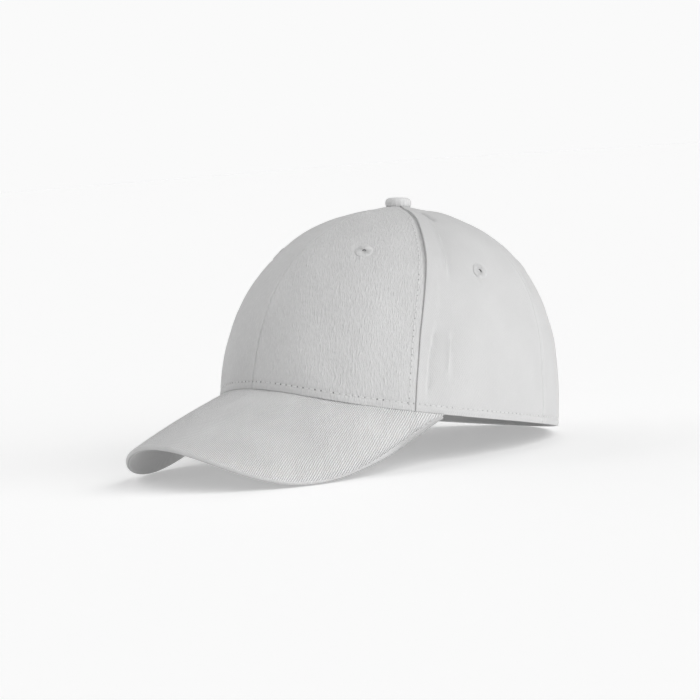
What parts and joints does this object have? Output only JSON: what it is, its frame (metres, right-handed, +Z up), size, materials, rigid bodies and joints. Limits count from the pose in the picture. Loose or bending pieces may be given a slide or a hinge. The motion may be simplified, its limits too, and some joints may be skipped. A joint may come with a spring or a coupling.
{
  "type": "ponytail baseball cap",
  "caption": "Baseball cap with a domed cloth crown, curved brim, top button, stitched vent eyelets and a bound slit down the back for a ponytail.",
  "frame": {"origin": "middle of the cap's footprint, on the surface that it rests on", "axes": "+Z up, -Y the way the brim points, +X the wearer's left"},
  "size_m": [0.162, 0.2686, 0.136],
  "materials": {
    "crown_twill": "matt white cotton twill",
    "binding_twill": "matt white cotton twill tape",
    "brim_twill": "matt white cotton twill over a stiff board",
    "button_twill": "matt white cotton twill over metal",
    "eyelet_thread": "satin embroidery thread",
    "sweatband_cotton": "matt cotton"
  },
  "bodies": {
    "root": {"front_panel_left": "crown_twill", "front_panel_right": "crown_twill", "side_panel_left": "crown_twill", "side_panel_right": "crown_twill", "back_panel_left": "crown_twill", "back_panel_right": "crown_twill", "slit_binding_left": "binding_twill", "slit_binding_right": "binding_twill", "brim": "brim_twill", "top_button": "button_twill", "eyelet_front_left": "eyelet_thread", "eyelet_front_right": "eyelet_thread", "eyelet_side_left": "eyelet_thread", "eyelet_side_right": "eyelet_thread", "eyelet_back_left": "eyelet_thread", "eyelet_back_right": "eyelet_thread", "sweatband": "sweatband_cotton"}
  },
  "joints": []
}
